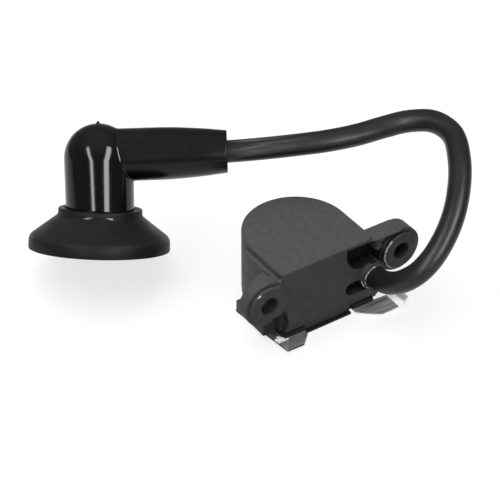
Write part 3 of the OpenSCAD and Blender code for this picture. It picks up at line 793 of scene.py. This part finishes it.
# streaks of painted highlight along the lead next to the arm, which fade away from the arm
SHEEN_FROM, SHEEN_TO = 43, 66
SHEEN_TURN = (0, math.radians(-4.8), math.radians(-25.7))
SHEEN_LONG, SHEEN_GREY = 20, 0.13
lead_tree = lead_rubber.node_tree
lead_colour = lead_tree.nodes["Principled BSDF"].inputs["Base Color"]
lead_place = lead_tree.nodes.new("ShaderNodeTexCoord")
along_arm = lead_tree.nodes.new("ShaderNodeVectorMath")
along_arm.operation = "DOT_PRODUCT"
along_arm.inputs[1].default_value = ARM_WAY
lead_tree.links.new(lead_place.outputs["Object"], along_arm.inputs[0])
sheen_ends = [BOOT_AT.dot(ARM_WAY) + reach * MM for reach in (SHEEN_FROM, SHEEN_TO)]
sheen_fade = spread(lead_tree, along_arm.outputs["Value"], *sheen_ends, 1, 0)
sheen_way = lead_tree.nodes.new("ShaderNodeMapping")
sheen_way.vector_type = "TEXTURE"
sheen_way.inputs["Rotation"].default_value = SHEEN_TURN
sheen_way.inputs["Scale"].default_value = (SHEEN_LONG, 1, 1)
lead_tree.links.new(lead_place.outputs["Object"], sheen_way.inputs["Vector"])
sheen_noise = lead_tree.nodes.new("ShaderNodeTexNoise")
sheen_noise.inputs["Scale"].default_value = 900
sheen_noise.inputs["Detail"].default_value = 2.0
lead_tree.links.new(sheen_way.outputs["Vector"], sheen_noise.inputs["Vector"])
sheen_streaks = spread(lead_tree, sheen_noise.outputs["Fac"], 0.48, 0.66, 0, 1)
sheen_tone = lead_tree.nodes.new("ShaderNodeMix")
sheen_tone.data_type = "RGBA"
rubber_in, sheen_in, tone_out = sheen_tone.inputs[6], sheen_tone.inputs[7], sheen_tone.outputs[2]
sheen_in.default_value = (*grey(SHEEN_GREY), 1)
lead_tree.links.new(worked(lead_tree, "MULTIPLY", sheen_streaks, sheen_fade), sheen_tone.inputs["Factor"])
lead_tree.links.new(lead_colour.links[0].from_socket, rubber_in)
lead_tree.links.new(tone_out, lead_colour)
lead_curve.materials.append(lead_rubber)
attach(lead, "coil")
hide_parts("lead_jacket")


# The boot: a glossy rubber elbow moulded in one piece. Its arm grips the lead, its upright goes
# over the plug, and a sprung clip in the upright snaps on the plug's terminal.
BOOT_RADIUS, DOME_RADIUS = 10.5, 10.65
BOOT_FOOT = -18
ARM_LENGTH = 39
TOWER_TURN = BOOT_TURN @ Matrix.Rotation(math.radians(-1), 3, "Y")
TOWER_AT = BOOT_AT + (BOOT_TURN - TOWER_TURN) @ Vector((0, 0, BOOT_FOOT)) * MM
BEAD_RADIUS = 11.05
dome = arc((0, -0.8), DOME_RADIUS, 0, 5, 18)
boot = spun("plug_boot", [
    (0, -22.5), (BOOT_RADIUS - 0.5, -22.5), (BOOT_RADIUS, -22), (BOOT_RADIUS, -18.9), (10.8, -18.8),
    (BEAD_RADIUS, -18.5), (BEAD_RADIUS, -17.5), (10.8, -17.2), (BOOT_RADIUS, -17.1), *dome,
    (0.7, 9.83), (0.45, 10.1), (0.3, 10.4), (0, 10.6)], TOWER_AT, TOWER_TURN, 120)
arm_line = smooth_through([Vector(p) for p in ((8.1, 14), (8, 22), (7.4, 31), (6.6, 38.6))], 5)
arm = spun("boot_arm", [
    (0, 0), (8.1, 0), *arm_line, (6.58, 38.8), (6.38, ARM_LENGTH), (0, ARM_LENGTH)], BOOT_AT, ARM_TURN, 120)
combine(boot, "UNION", arm)

# the parting line of the mould: a fine ridge over the dome and down the upright, front and back
RIDGE_HIGH, RIDGE_WIDE = 0.15, 0.3
half = [(r + RIDGE_HIGH, h + RIDGE_HIGH * (h > 0)) for r, h in [(BOOT_RADIUS, -16.5), *dome]]
ridge_outline = half + [(-r, h) for r, h in reversed(half)]
ridge = pulled(
    "parting_ridge",
    [TOWER_AT + TOWER_TURN @ Vector((-RIDGE_WIDE / 2, r, h)) * MM for r, h in ridge_outline],
    TOWER_TURN @ Vector((RIDGE_WIDE, 0, 0)) * MM)

# the crease between the arm and the upright is moulded with a small round
only(boot)
bpy.ops.object.mode_set(mode="EDIT")
bpy.ops.mesh.select_mode(type="EDGE")
bpy.ops.mesh.select_all(action="SELECT")
bpy.ops.mesh.remove_doubles(threshold=0.00002)
bpy.ops.mesh.select_all(action="DESELECT")
bpy.ops.mesh.edges_select_sharp(sharpness=math.radians(15))
bpy.ops.object.mode_set(mode="OBJECT")
from_boot = BOOT_TURN.transposed()
spots = [from_boot @ (v.co - BOOT_AT) / MM for v in boot.data.vertices]
for edge in boot.data.edges:
    ends = [spots[i] for i in edge.vertices]
    edge.select = edge.select and all(4 < e.x < 11.5 and -9.5 < e.z < 9.5 for e in ends)
bpy.ops.object.mode_set(mode="EDIT")
bpy.ops.mesh.bevel(offset=0.6 * MM, segments=4, affect="EDGES", clamp_overlap=False)
bpy.ops.object.mode_set(mode="OBJECT")

plug_bore = spun("plug_bore", [
    (0, -24), (5.9, -24), (5.9, -22.5), (5.6, -22.2), (5.5, -21.9), (5.5, -11), (4.4, -11), (4.4, 3), (0, 3)],
    BOOT_AT, BOOT_TURN, 72)
lead_bore = spun("lead_bore", [
    (0, 0.5), (1.6, 0.5), (1.6, 10), (3.56, 10), (3.56, 38.6), (3.65, 38.85), (3.9, ARM_LENGTH),
    (3.9, 41), (0, 41)], BOOT_AT, ARM_TURN, 72)
combine(boot, "UNION", ridge)
combine(boot, "DIFFERENCE", plug_bore, lead_bore)
smooth(boot, 40)

# the upright is polished by the mould, and the arm is duller
boot_rubber = finish("boot_rubber", grey(0.005), 0.12, Specular_IOR_Level=0.3)
dull(boot_rubber, cloud(boot_rubber, 120), 0.1, 0.14)
arm_rubber = finish("arm_rubber", grey(0.004), 0.24, Specular_IOR_Level=0.24)
dull(arm_rubber, cloud(arm_rubber, 120), 0.2, 0.28)
for material in (boot_rubber, arm_rubber):
    grain(material, cloud(material, 160, 2.0), 0.00003, 0.35)
    boot.data.materials.append(material)
ON_ARM = 1
for face in boot.data.polygons:
    spot = from_boot @ (face.center - BOOT_AT) / MM
    if spot.x > 4 and math.hypot(spot.x, spot.y) > DOME_RADIUS + 0.25:
        face.material_index = ON_ARM
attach(boot, "boot")
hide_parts("boot_elbow")

clip_steel = finish("clip_steel", (0.6, 0.58, 0.52), 0.28, Metallic=1.0)
dull(clip_steel, cloud(clip_steel, 500), 0.2, 0.4)
coat(clip_steel, "plug_clip")


# The dust shield: a flared skirt of satin rubber that snaps over a bead at the foot of the boot
# and turns there. It keeps dirt off the plug's hole, and sits a little askew on the bead.
SHIELD_TURN = BOOT_TURN @ Matrix.Rotation(math.radians(2), 3, "Y")
SHIELD_AT = BOOT_AT + (BOOT_TURN - SHIELD_TURN) @ Vector((0, 0, BOOT_FOOT)) * MM
shield = spun("dust_shield_skirt", [
    (10.66, -16.9), (10.85, -16.5), (11.3, -16.2), (12.5, -16.2), (12.75, -16.3), (12.9, -16.6),
    (12.9, -17.6), (12.96, -18.0), (13.15, -18.4), (13.45, -18.72), (13.9, -19.08), (20.5, -24.1),
    (21.1, -24.6), (21.5, -25.2), (21.7, -25.9), (21.8, -28.5), (21.65, -28.85), (21.3, -29.0),
    (20.2, -29.0), (20.1, -26), (11.5, -20.7), (10.66, -20.3), (10.66, -19.0), (11.26, -19.0),
    (11.26, -17.0), (10.66, -17.0), (10.66, -16.9)], SHIELD_AT, SHIELD_TURN, 128)
smooth(shield, 40)
shield_rubber = finish("shield_rubber", grey(0.013), 0.45, Specular_IOR_Level=0.18)
tone(shield_rubber, cloud(shield_rubber, 80), grey(0.011), grey(0.016))
dull(shield_rubber, cloud(shield_rubber, 200), 0.4, 0.54)
grain(shield_rubber, cloud(shield_rubber, 1200, 2.0), 0.00003, 0.5)

# the fillet under the collar shines in front, and the collar's side and the rim are duller
shield_gloss = finish("shield_gloss", grey(0.008), 0.16, Specular_IOR_Level=0.3)
dull(shield_gloss, cloud(shield_gloss, 200), 0.12, 0.2)
shield_dull = finish("shield_dull", grey(0.013), 0.5, Specular_IOR_Level=0.11)
dull(shield_dull, cloud(shield_dull, 200), 0.45, 0.55)
for material in (shield_rubber, shield_gloss, shield_dull):
    shield.data.materials.append(material)
ON_GLOSS, ON_DULL = 1, 2
from_shield = SHIELD_TURN.transposed()
for face in shield.data.polygons:
    spot = from_shield @ (face.center - SHIELD_AT) / MM
    reach = math.hypot(spot.x, spot.y)
    in_front = spot.y < 0 and abs(spot.x) < 5
    if -19.1 < spot.z < -17.6 and 12.8 < reach < 13.95 and in_front:
        face.material_index = ON_GLOSS
    elif reach > 21.45 or 12.6 < reach < 13.2:
        face.material_index = ON_DULL
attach(shield, "shield")
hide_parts("dust_shield")
